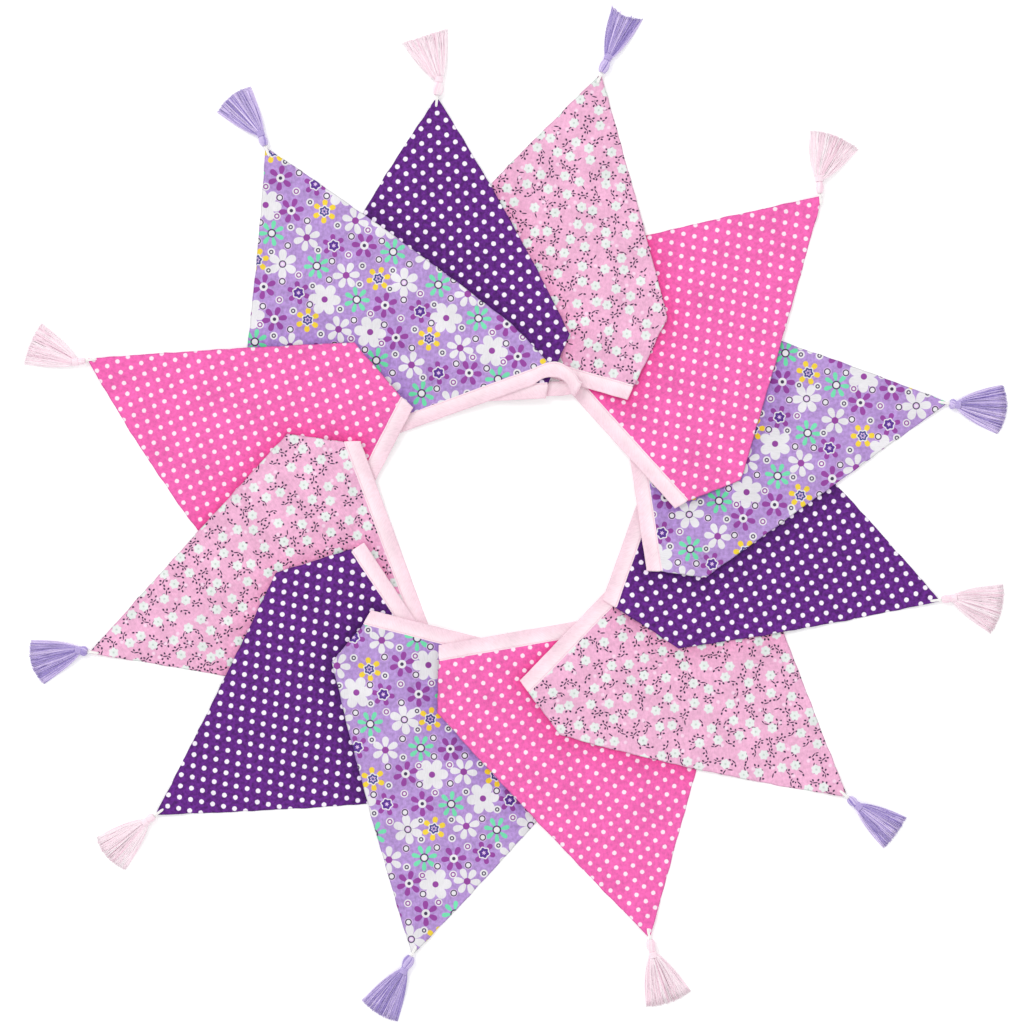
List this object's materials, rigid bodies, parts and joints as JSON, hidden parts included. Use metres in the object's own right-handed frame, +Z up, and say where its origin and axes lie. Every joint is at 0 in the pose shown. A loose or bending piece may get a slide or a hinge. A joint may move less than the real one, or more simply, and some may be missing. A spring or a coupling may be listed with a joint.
{
  "type": "fabric bunting",
  "caption": "Cotton pennant bunting laid flat as a ring: printed double-sided pennants on a folded pale-pink tape, each with a thread loop and a tassel at its tip.",
  "frame": {"origin": "on the floor under the middle of the laid ring's bounding box", "axes": "+Z up from the floor, +Y towards the top of the view from above, where the tape's tied end lies"},
  "size_m": [0.6569, 0.6797, 0.0136],
  "materials": {
    "purple_dots": "matte",
    "pink_ditsy": "matte",
    "hot_pink_dots": "matte",
    "lilac_floral": "matte",
    "tape_pink": "matte",
    "tassel_pink": "satin",
    "tassel_lilac": "satin",
    "thread_white": "satin"
  },
  "bodies": {
    "root": {"binding_tape": "tape_pink", "pennant_01": "purple_dots", "pennant_02": "pink_ditsy", "pennant_03": "hot_pink_dots", "pennant_04": "lilac_floral", "pennant_05": "purple_dots", "pennant_06": "pink_ditsy", "pennant_07": "hot_pink_dots", "pennant_08": "lilac_floral", "pennant_09": "purple_dots", "pennant_10": "pink_ditsy", "pennant_11": "hot_pink_dots", "pennant_12": "lilac_floral", "thread_loop_01": "thread_white", "thread_loop_02": "thread_white", "thread_loop_03": "thread_white", "thread_loop_04": "thread_white", "thread_loop_05": "thread_white", "thread_loop_06": "thread_white", "thread_loop_07": "thread_white", "thread_loop_08": "thread_white", "thread_loop_09": "thread_white", "thread_loop_10": "thread_white", "thread_loop_11": "thread_white", "thread_loop_12": "thread_white", "tassel_01": "tassel_pink", "tassel_02": "tassel_lilac", "tassel_03": "tassel_pink", "tassel_04": "tassel_lilac", "tassel_05": "tassel_pink", "tassel_06": "tassel_lilac", "tassel_07": "tassel_pink", "tassel_08": "tassel_lilac", "tassel_09": "tassel_pink", "tassel_10": "tassel_lilac", "tassel_11": "tassel_pink", "tassel_12": "tassel_lilac"}
  },
  "joints": []
}
